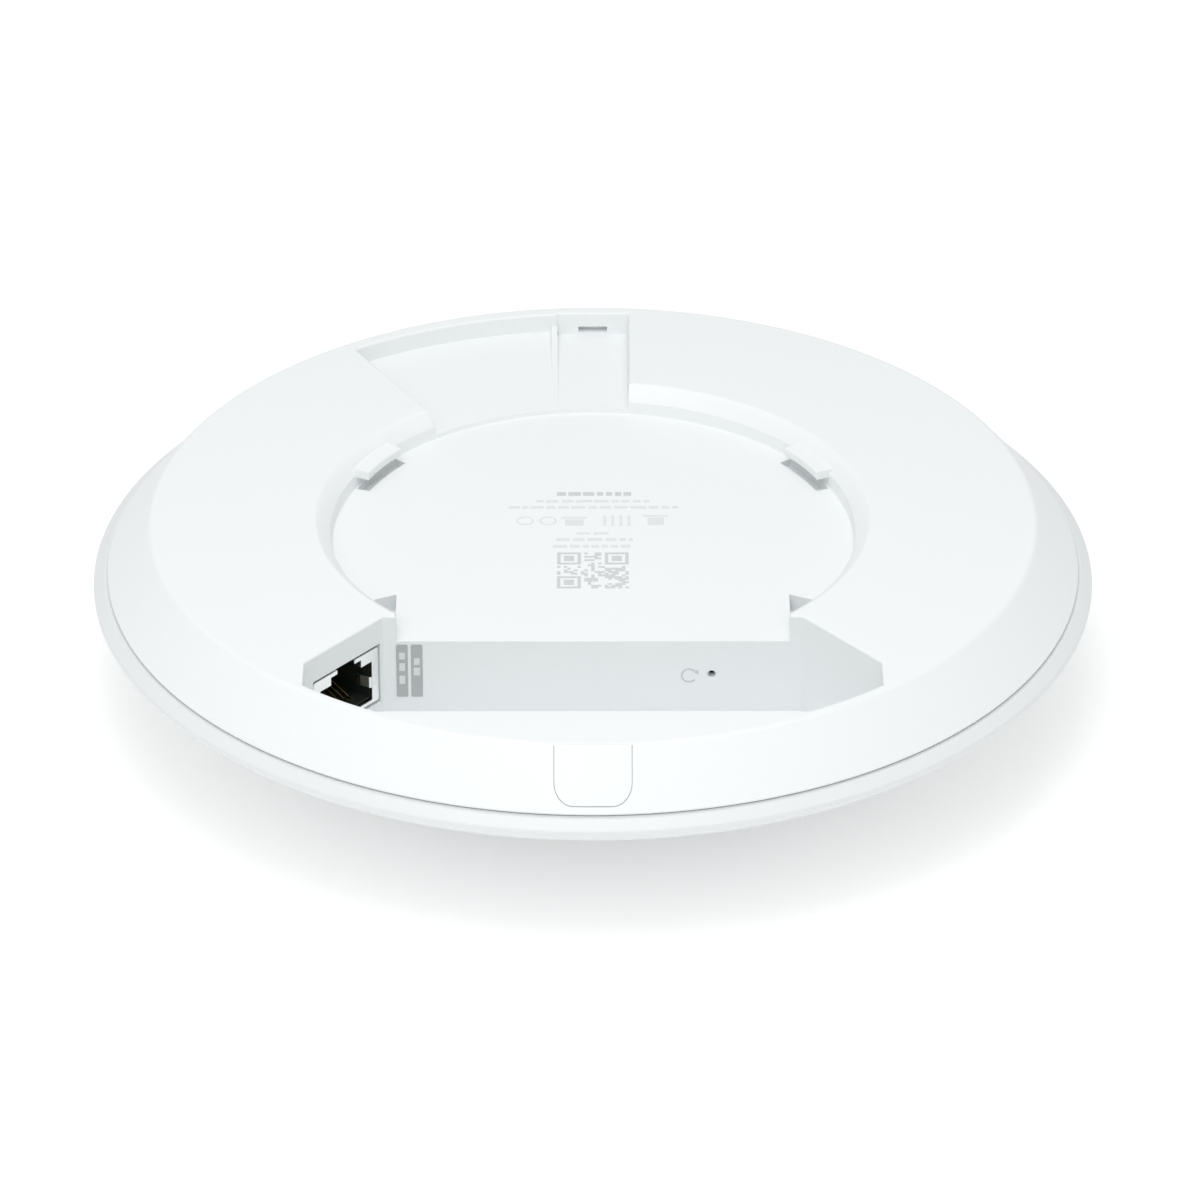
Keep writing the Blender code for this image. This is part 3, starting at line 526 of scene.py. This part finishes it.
def tab_openings():
    """Window behind the cable exit tab, and the shallower rebate that its edge rests in."""
    slot_end = TAB_HIGH.y + HINGE_PLAY
    window = standing("tab_window", tab_outline(-TAB_LEDGE, CUT_TOP_Z), OUTSIDE_Y, slot_end)
    rebate = cone_layer("tab_rebate", -2.0 * MM, TAB_FACE + REBATE_PLAY)
    edge = standing("rebate_edge", tab_outline(REBATE_GROW, CUT_TOP_Z), OUTSIDE_Y, slot_end)
    combine(rebate, [edge], "INTERSECT")
    return [window, rebate]


def shell_openings():
    tools = [notch_tool()]
    for number, (x, y) in enumerate(BOSSES):
        tools.append(cylinder(f"pilot_hole_{number}", (x, y, BOSS_LOW_Z), PILOT_RADIUS, PILOT_LENGTH, 24))
    tools.append(box("latch_slot", (0, NOTCH_END_Y, NOTCH_FLOOR_Z + LATCH_SLOT_LIFT), LATCH_SLOT_SIZE))
    tools += lug_pockets()
    tools += mirrored("pocket_tool", SIDE_POCKET, *SIDE_POCKET_Z)
    tools.append(in_socket(box("window_tool", (0, 0, 0), (WINDOW.x, 6.0 * MM, WINDOW.y))))
    return tools + reset_tools() + tab_openings()


def rear_shell():
    shell = ring_and_side()
    combine(shell, shell_bodies(), "UNION")
    combine(shell, [recess_tool(), recess_side_tool(), channel_tool(), sweep_tool()], "DIFFERENCE")
    combine(shell, [detent_ridge(), *lugs()], "UNION")
    combine(shell, shell_openings(), "DIFFERENCE")
    return shell


# ---- Cable exit tab, front cover and light ring --------------------------------------------------
def cable_tab():
    """Flap with a narrower back, so that its edge rests over a ledge in the housing."""
    inner_radius = 66.0 * MM
    corners = [(inner_radius, REAR_Z), (CREASE_RADIUS, REAR_Z), (SEAM_RADIUS, SEAM_Z), (TONGUE[0], SEAM_Z)]
    corners += [INNER_CREASE, (inner_radius, INNER_CREASE[1])]
    tab = turned("exit_tab_shell", rounded(corners, [0, CREASE_EDGE, 0, 0, 0, 0]))
    face = standing("tab_face", tab_outline(TAB_GROW, CUT_TOP_Z), OUTSIDE_Y, TAB_HIGH.y)
    combine(tab, [face], "INTERSECT")
    back = cone_layer("tab_back_layer", TAB_FACE, 4.0 * MM)
    inside = standing("tab_back", tab_outline(-TAB_LEDGE - BACK_PLAY, CUT_TOP_Z), OUTSIDE_Y, TAB_HIGH.y)
    combine(back, [inside], "DIFFERENCE")
    combine(tab, [back], "DIFFERENCE")
    bevel = tab.modifiers.new("edges", "BEVEL")
    bevel.width = TAB_BEVEL
    bevel.segments = 3
    bevel.limit_method = "ANGLE"
    bevel.angle_limit = math.radians(50)
    shade(settle(tab))
    return tab


def snap_ribs():
    """Six ribs inside the cover."""
    rib = rounded([(71.6, -10.0), (73.4, -10.0), (73.4, -4.8), (71.6, -4.8)], [0, 0, 0.4, 0.4], 4)
    rib = [(reach * MM, z * MM) for reach, z in rib]
    return [sector(f"snap_rib_{turn}", rib, turn - 3, turn + 3) for turn in range(30, 390, 60)]


def cover_shell():
    """Dome with its lip, the stepped seam and the groove for the light ring."""
    inner = dome_arc(DOME_RADIUS - COVER_WALL, 0.0, 75.5 * MM, 24)
    step_radius, step_z = SEAM_RADIUS - SEAM_STEP[0], SEAM_Z - SEAM_STEP[1]
    lip = [(COVER_LIP, TONGUE[2] - 0.6 * MM), (COVER_LIP, step_z), (step_radius, step_z)]
    corners = [(step_radius, COVER_TOP_Z), (SEAM_RADIUS + 0.2 * MM, COVER_TOP_Z)]
    corners += [(RIM_RADIUS, COVER_TOP_Z - drop) for drop in RIM_DROP] + [DOME_EDGE]
    outer_lip = rounded(corners, [0, 0.25 * MM, 0.5 * MM, 0.6 * MM, 0], 6)
    groove_outer = RING_HIGH.x + GAP
    groove_inner = groove_outer - GROOVE_WIDTH
    outer = dome_arc(DOME_RADIUS, DOME_EDGE[0], groove_outer, 28)
    groove = dome_arc(DOME_RADIUS - RING_DEPTH, groove_outer, groove_inner, 2)
    middle = dome_arc(DOME_RADIUS, groove_inner, 0.0, 12)
    cover = turned("cover_shell", inner + lip + outer_lip[:-1] + outer + groove + middle, closed=False)
    combine(cover, snap_ribs(), "UNION")
    return cover


def fine_light_ring():
    outer_radius, inner_radius = RING_HIGH.x, RING_HIGH.x - INLAY_WIDTH
    outside = dome_arc(DOME_RADIUS, outer_radius, inner_radius, 4)
    inside = dome_arc(DOME_RADIUS - RING_DEPTH + GAP, inner_radius, outer_radius, 4)
    return turned("light_ring_inlay", inside + outside)


# ---- Network socket ------------------------------------------------------------------------------
ALONG = Vector((SLANT.x, -SLANT.y, 0.0))
INWARD = Vector((-ALONG.y, ALONG.x, 0.0))
SOCKET_FACE = (SHIELD_LOW + SHIELD_HIGH) / 2 - INWARD * (SOCKET_DEPTH / 2)
SOCKET_TURN = Matrix.Rotation(math.atan2(ALONG.y, ALONG.x), 4, "Z")
SOCKET_FRAME = Matrix.Translation(SOCKET_FACE) @ SOCKET_TURN      # X along the wall, Y inwards, Z up


def in_socket(thing):
    """Move a piece made in the socket's own frame to its place."""
    thing.data.transform(SOCKET_FRAME)
    return thing


def mouth_outline(low, top):
    """Opening for the plug, with the stepped notch for its latch, seen along the socket's own Y."""
    half = [(6.0 * MM, low), (6.0 * MM, 2.75 * MM), (3.5 * MM, 2.75 * MM), (3.5 * MM, 4.1 * MM)]
    half += [(2.0 * MM, 4.1 * MM), (2.0 * MM, top)]
    return half + [(-x, z) for x, z in reversed(half)]


def shield_fingers(side):
    """Bent finger at the mouth, and the spring that presses on the housing, on one side."""
    bend = [(6.2, 0.05), (6.2, 0.22), (5.98, 0.42), (5.62, 2.0), (5.85, 2.75), (5.70, 2.85), (5.40, 2.0),
            (5.72, 0.35), (6.0, 0.05)]
    radii = [radius * MM for radius in (0, 0, 0.2, 0.3, 0, 0, 0.3, 0.3, 0)]
    outline = rounded([(x * side * MM, y * MM) for x, y in bend], radii, 4)
    finger = prism(f"side_finger_{side}", outline, -2.05 * MM, -0.15 * MM)
    strip = ((7.42, 3.0), (7.42, 3.3), (7.62, 5.5), (7.72, 5.5), (7.55, 3.0))
    spring = prism(f"wall_spring_{side}", [(x * side * MM, y * MM) for x, y in strip], -1.2 * MM, 1.2 * MM)
    return [fix_normals(finger), fix_normals(spring)]


def socket_shield():
    """Folded sheet box open at the back, with a spring finger on each side of its mouth."""
    x, z = SOCKET_HALF
    corners = [(x, -z), (x, z), (-x, z), (-x, -z)]
    shield = standing("socket_shield", rounded(corners, [0.45 * MM] * 4, 6), 0.0, SOCKET_DEPTH)
    inner = [(math.copysign(abs(a) - SHEET, a), math.copysign(abs(b) - SHEET, b)) for a, b in corners]
    hollow = standing("shield_hollow", rounded(inner, [0.2 * MM] * 4, 4), SHEET, SOCKET_DEPTH + MM)
    mouth = standing("shield_mouth", mouth_outline(MOUTH_LOW_Z, z + MM), -MM, MM)
    combine(shield, [hollow, mouth], "DIFFERENCE")
    combine(shield, shield_fingers(-1) + shield_fingers(1), "UNION")
    return in_socket(shield)


def comb_teeth():
    """Nine teeth that keep the eight contacts apart."""
    low, high = CAVITY_FLOOR_Z - 0.2 * MM, 0.6 * MM
    teeth = []
    for number in range(9):
        centre = ((number - 4) * CONTACT_PITCH, 11.1 * MM, (low + high) / 2)
        teeth.append(box(f"comb_tooth_{number}", centre, (0.42 * MM, 5.2 * MM, high - low)))
    return teeth


def socket_body():
    """Insulating block: plug cavity, comb and softened mouth edge."""
    x, z = SOCKET_HALF.x - SHEET - GAP, SOCKET_HALF.y - SHEET - GAP
    front, back = SHEET + GAP, SOCKET_DEPTH - GAP
    block = box("socket_body", (0, (front + back) / 2, 0), (2 * x, back - front, 2 * z), bevel=0.25 * MM)
    outline = mouth_outline(CAVITY_FLOOR_Z, z + MM)
    combine(block, [standing("plug_cavity", outline, front - MM, front + CAVITY_DEPTH)], "DIFFERENCE")
    combine(block, comb_teeth(), "UNION")
    return in_socket(block)


def contact_wire(number):
    """Round sprung wire: flat at the mouth, rising to the comb, its free end turned down."""
    low = CAVITY_FLOOR_Z + GAP
    bends = [(2.1 * MM, low), (2.9 * MM, low), (9.4 * MM, low + 2.95 * MM), (9.85 * MM, low + 2.3 * MM)]
    path = rounded(bends, [0, 0.8 * MM, 0.3 * MM, 0], 6)
    x = (number - 3.5) * CONTACT_PITCH
    sections = []
    for index, (y, z) in enumerate(path):
        before, after = Vector(path[max(index - 1, 0)]), Vector(path[min(index + 1, len(path) - 1)])
        run = (after - before).normalized()
        ring = []
        for step in range(10):
            turn = math.tau * step / 10
            out = WIRE_RADIUS * math.sin(turn)
            ring.append((x + WIRE_RADIUS * math.cos(turn), y - run.y * out, z + run.x * out))
        sections.append(ring)
    return in_socket(loft(f"contact_wire_{number + 1}", sections))


# ---- Materials ----------------------------------------------------------------------------------
def noise(nodes, links, source, scale, detail):
    texture = nodes.new("ShaderNodeTexNoise")
    texture.inputs["Scale"].default_value = scale
    texture.inputs["Detail"].default_value = detail
    links.new(source, texture.inputs["Vector"])
    return texture.outputs["Fac"]


def surface(name, colour, other, roughness, grain, bump, metallic=0.0, stretch=None):
    """Principled surface: patchy colour, grain-sized roughness and bump, all from object coordinates."""
    material = bpy.data.materials.new(name)
    material.use_nodes = True
    nodes, links = material.node_tree.nodes, material.node_tree.links
    shader = nodes["Principled BSDF"]
    shader.inputs["Metallic"].default_value = metallic
    shader.inputs["IOR"].default_value = 1.46
    source = nodes.new("ShaderNodeTexCoord").outputs["Object"]
    if stretch:
        mapping = nodes.new("ShaderNodeMapping")
        mapping.inputs["Scale"].default_value = stretch
        links.new(source, mapping.inputs["Vector"])
        source = mapping.outputs["Vector"]
    mix = nodes.new("ShaderNodeMix")
    mix.data_type = "RGBA"
    mix.inputs[6].default_value = (*colour, 1.0)
    mix.inputs[7].default_value = (*other, 1.0)
    links.new(noise(nodes, links, source, 18.0, 3.0), mix.inputs[0])
    links.new(mix.outputs[2], shader.inputs["Base Color"])
    fine = noise(nodes, links, source, grain, 2.0)
    span = nodes.new("ShaderNodeMapRange")
    span.inputs["To Min"].default_value = roughness - 0.04
    span.inputs["To Max"].default_value = roughness + 0.04
    links.new(fine, span.inputs["Value"])
    links.new(span.outputs["Result"], shader.inputs["Roughness"])
    relief = nodes.new("ShaderNodeBump")
    relief.inputs["Strength"].default_value = bump
    relief.inputs["Distance"].default_value = 0.02 * MM
    links.new(fine, relief.inputs["Height"])
    links.new(relief.outputs["Normal"], shader.inputs["Normal"])
    return material


SURFACES = {
    "white_plastic": surface("housing_white", (0.825, 0.85, 0.855), (0.84, 0.865, 0.87), 0.48, 2600.0, 0.35),
    "cover_plastic": surface("cover_white", (0.745, 0.768, 0.773), (0.76, 0.782, 0.786), 0.38, 3200.0, 0.15),
    "light_plastic": surface("light_plastic", (0.72, 0.79, 0.86), (0.78, 0.84, 0.90), 0.28, 1500.0, 0.10),
    "circuit_board": surface("solder_mask", (0.02, 0.13, 0.06), (0.035, 0.18, 0.085), 0.45, 900.0, 0.25),
    "aluminium": surface("plain_aluminium", (0.66, 0.67, 0.68), (0.74, 0.75, 0.76), 0.38, 900.0, 0.25, 1.0,
                         stretch=(1.0, 12.0, 1.0)),
    "shield_metal": surface("tinned_sheet", (0.92, 0.92, 0.91), (0.97, 0.97, 0.96), 0.30, 700.0, 0.12, 1.0,
                            stretch=(1.0, 1.0, 9.0)),
    "black_plastic": surface("socket_black", (0.012, 0.016, 0.013), (0.020, 0.026, 0.022), 0.42, 2200.0, 0.3),
    "gold": surface("gold_plate", (0.80, 0.60, 0.24), (0.88, 0.69, 0.33), 0.24, 1800.0, 0.1, 1.0),
    "chip_plastic": surface("chip_black", (0.022, 0.022, 0.025), (0.038, 0.038, 0.042), 0.55, 2400.0, 0.4),
    "thermal_pad": surface("pad_blue_grey", (0.38, 0.41, 0.55), (0.47, 0.50, 0.64), 0.88, 1500.0, 0.5),
    "screw_steel": surface("screw_steel", (0.50, 0.50, 0.49), (0.62, 0.62, 0.60), 0.34, 1600.0, 0.2, 1.0),
}
PRINT = surface("print_grey", (0.56, 0.58, 0.585), (0.62, 0.64, 0.645), 0.55, 3000.0, 0.1)
FAINT_PRINT = surface("print_faint", (0.70, 0.72, 0.725), (0.74, 0.76, 0.765), 0.55, 3000.0, 0.1)
TAG = surface("tag_grey", (0.42, 0.44, 0.445), (0.47, 0.49, 0.495), 0.5, 2600.0, 0.2)


def dress(thing, material, body="housing", nodes=()):
    """Give a finished piece its material and body, and hide the CAD nodes it replaces."""
    flatten_normals(thing)
    thing.data.materials.clear()
    thing.data.materials.append(material)
    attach(thing, body)
    if nodes:
        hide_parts(*nodes)
    return thing


# ---- Printed marks ------------------------------------------------------------------------------
def flat_marks(name, rectangles, material):
    """Thin printed rectangles on the recess floor, each (x, y, width, height) in mm, as one piece."""
    shape = bmesh.new()
    for x, y, width, height in rectangles:
        size = Matrix.Diagonal((width * MM, height * MM, INK, 1))
        place = Matrix.Translation((x * MM, y * MM, INK / 2)) @ size
        bmesh.ops.create_cube(shape, size=1.0, matrix=place)
    return dress(from_bmesh(name, shape), material)


def words(random_source, left, right, y, height):
    """A line of plain bars that stands for a line of print, with gaps like those between words."""
    bars = []
    x = left
    while x < right - 0.6:
        width = min(random_source.uniform(0.9, 2.6), right - x)
        bars.append((x + width / 2, y, width, height))
        x += width + random_source.uniform(0.35, 0.6)
    return bars


def label_print():
    chance = random.Random(7)
    flat_marks("label_heading", words(chance, -5.8, 6.2, 14.4, 1.15), PRINT)
    lines = words(chance, -9.1, 9.2, 12.0, 0.75) + words(chance, -13.6, 14.3, 10.0, 0.75)
    lines += words(chance, -2.6, 3.0, 1.5, 0.6)
    lines += words(chance, -5.8, 6.4, -0.5, 0.9) + words(chance, -6.4, 7.1, -2.7, 0.9)
    flat_marks("label_lines", lines, FAINT_PRINT)
    icons = [(1.9 + 1.3 * index, 5.6, 0.45, 3.4) for index in range(4)]
    icons += [(10.1, 7.2, 4.0, 0.5), (10.1, 5.4, 2.6, 2.4), (-3.0, 6.6, 4.2, 0.5), (-3.0, 5.0, 3.0, 2.0)]
    flat_marks("label_icons", icons, FAINT_PRINT)
    for number, x in enumerate((-10.9, -7.2)):
        centre = Vector((x * MM, 5.6 * MM, 0))
        ring_mark(f"label_ring_{number + 1}", centre, 1.25 * MM, 0.3 * MM, 0, 360, FAINT_PRINT)
    label_pattern(chance)


def label_pattern(chance):
    """Square of random cells, which encodes nothing."""
    size = 11.4
    count = 21
    cell = size / count
    blocks = []
    for row in range(count):
        for column in range(count):
            if code_cell(row, column, count, chance):
                blocks.append(((column + 0.5) * cell - size / 2, -4.7 - (row + 0.5) * cell, cell, cell))
    flat_marks("label_block_pattern", blocks, PRINT)


def code_cell(row, column, count, chance):
    """Whether a cell is dark: at random, but for a plain framed square in three corners."""
    dark = chance.random() < 0.47
    for corner_row, corner_column in ((0, 0), (0, count - 7), (count - 7, 0)):
        r, c = row - corner_row, column - corner_column
        if -1 <= r <= 7 and -1 <= c <= 7:
            ring = max(abs(r - 3), abs(c - 3))
            return ring in (0, 1, 3)
    return dark


def ring_mark(name, centre, radius, width, start, end, material, upright=False):
    """A printed ring or open ring; upright puts it on the port channel's main wall."""
    shape = bmesh.new()
    count = 40
    turns = [math.radians(start + (end - start) * index / count) for index in range(count + 1)]
    closed = end - start >= 360
    rows = []
    for turn in turns[:-1] if closed else turns:
        row = []
        for reach, height in ((radius - width / 2, 0), (radius + width / 2, 0),
                              (radius + width / 2, INK), (radius - width / 2, INK)):
            row.append(shape.verts.new((reach * math.cos(turn), reach * math.sin(turn), height)))
        rows.append(row)
    pairs = list(zip(rows, rows[1:]))
    if closed:
        pairs.append((rows[-1], rows[0]))
    for first, second in pairs:
        for index in range(4):
            after = (index + 1) % 4
            shape.faces.new((first[index], first[after], second[after], second[index]))
    if not closed:
        shape.faces.new(rows[0])
        shape.faces.new(rows[-1])
    turn = Matrix.Rotation(math.pi / 2, 4, "X") if upright else Matrix.Identity(4)
    bmesh.ops.transform(shape, matrix=Matrix.Translation(centre) @ turn, verts=shape.verts)
    return dress(from_bmesh(name, shape), material)


def wall_tag(number, left, right, marks):
    """Grey tag on the channel's main wall, with white squares at the heights in marks (all in mm)."""
    left, right, low, high = left * MM, right * MM, -10.0 * MM, -0.55 * MM
    corners = [(left, low), (right, low), (right, high), (left, high)]
    face_y = PORT_WALL_Y - TAG_THICKNESS
    outline = rounded(corners, [0.25 * MM] * 4, 4)
    tag = standing(f"wall_tag_{number}", outline, face_y, PORT_WALL_Y - 0.01 * MM)
    dress(tag, TAG)
    shape = bmesh.new()
    for z, width, height in marks:
        size = Matrix.Diagonal((width * MM, INK, height * MM, 1))
        place = Matrix.Translation(((left + right) / 2, face_y - INK / 2, z * MM)) @ size
        bmesh.ops.create_cube(shape, size=1.0, matrix=place)
    dress(from_bmesh(f"wall_tag_marks_{number}", shape), FAINT_PRINT)


def reset_symbol():
    """Open ring with a pointed tip, beside the reset hole."""
    reset = (PLUNGER_LOW + PLUNGER_HIGH) / 2
    centre = Vector((reset.x - 3.55 * MM, PORT_WALL_Y - 0.005 * MM, reset.z - 0.2 * MM))
    ring_mark("reset_symbol", centre, 1.15 * MM, 0.28 * MM, 40, 320, PRINT, upright=True)
    shape = bmesh.new()
    tip = [(1.55, 0.15), (0.75, 0.55), (1.35, 1.05)]
    corners = [shape.verts.new((centre.x + x * MM, centre.y, centre.z + z * MM)) for x, z in tip]
    extruded = bmesh.ops.extrude_face_region(shape, geom=[shape.faces.new(corners)])
    moved = [item for item in extruded["geom"] if isinstance(item, bmesh.types.BMVert)]
    bmesh.ops.translate(shape, vec=(0, -INK, 0), verts=moved)
    dress(from_bmesh("reset_symbol_tip", shape), PRINT)


# ---- Pieces -------------------------------------------------------------------------------------
dress(rear_shell(), SURFACES["white_plastic"], nodes=["rear_housing"])
dress(cable_tab(), SURFACES["white_plastic"], body="exit_tab", nodes=["cable_exit_tab"])
dress(cover_shell(), SURFACES["cover_plastic"], nodes=["front_cover"])
dress(fine_light_ring(), SURFACES["light_plastic"], nodes=["light_ring"])
dress(socket_shield(), SURFACES["shield_metal"], nodes=["rj45_shield"])
dress(socket_body(), SURFACES["black_plastic"], nodes=["rj45_insert"])
for wire in range(8):
    dress(contact_wire(wire), SURFACES["gold"], nodes=[f"rj45_contact_{wire + 1}"])
label_print()
wall_tag(1, -30.75, -28.95, ((-2.6, 0.9, 1.2), (-4.6, 0.9, 1.4), (-6.9, 0.9, 1.5)))
wall_tag(2, -28.45, -26.65, ((-3.6, 0.9, 1.2), (-5.4, 1.0, 1.4)))
reset_symbol()

slot_of = {row["node"]: row["material_slot"] for row in frame["record"]["subparts"]}
for node, thing in frame["nodes"].items():
    thing.data.materials.clear()
    thing.data.materials.append(SURFACES[slot_of[node]])


# ---- Floor, light and camera --------------------------------------------------------------------
def studio_floor():
    """Pale sheet under the part, with a faint glow of its own so that shadows stay soft."""
    floor_shape = bmesh.new()
    bmesh.ops.create_grid(floor_shape, x_segments=1, y_segments=1, size=3.0)
    floor = from_bmesh("studio_floor", floor_shape)
    floor.location.z = CAD_LOW.z - 0.05 * MM
    paper = surface("floor_paper", (0.90, 0.90, 0.90), (0.91, 0.91, 0.91), 0.6, 400.0, 0.05)
    shader = paper.node_tree.nodes["Principled BSDF"]
    shader.inputs["Emission Color"].default_value = (1.0, 1.0, 1.0, 1.0)
    shader.inputs["Emission Strength"].default_value = 0.22
    floor.data.materials.append(paper)


def studio_light():
    world = bpy.data.worlds.new("studio_air")
    world.use_nodes = True
    world.node_tree.nodes["Background"].inputs["Color"].default_value = (1.0, 1.0, 1.0, 1.0)
    world.node_tree.nodes["Background"].inputs["Strength"].default_value = 0.64
    bpy.context.scene.world = world
    lamps = (("key_light", (-0.2, -0.95, 1.0), 1.1, 4.0),
             ("top_light", (0.0, 0.2, 1.4), 1.2, 2.0),
             ("close_light", (-0.02, -0.12, 0.36), 0.25, 0.44))
    for name, place, size, power in lamps:
        lamp = bpy.data.lights.new(name, "AREA")
        lamp.size = size
        lamp.energy = power
        thing = bpy.data.objects.new(name, lamp)
        thing.location = place
        thing.rotation_euler = (-Vector(place)).to_track_quat("-Z", "Y").to_euler()
        bpy.context.scene.collection.objects.link(thing)
    bpy.context.scene.view_settings.view_transform = "Standard"


def camera():
    lens = bpy.data.cameras.new("camera")
    lens.lens = 209.3
    lens.sensor_width = 36.0
    lens.clip_start = 0.05
    lens.clip_end = 20.0
    eye = bpy.data.objects.new("camera", lens)
    rim_z = COVER_TOP_Z - 1.1 * MM
    tilt = math.radians(29.9)
    distance = 1.120
    eye.location = (0.0, -distance * math.cos(tilt), rim_z + distance * math.sin(tilt))
    aim = Vector((1.14 * MM, -2.62 * MM, rim_z - 4.56 * MM))
    eye.rotation_euler = (aim - eye.location).to_track_quat("-Z", "Y").to_euler()
    bpy.context.scene.collection.objects.link(eye)
    bpy.context.scene.camera = eye


studio_floor()
studio_light()
camera()
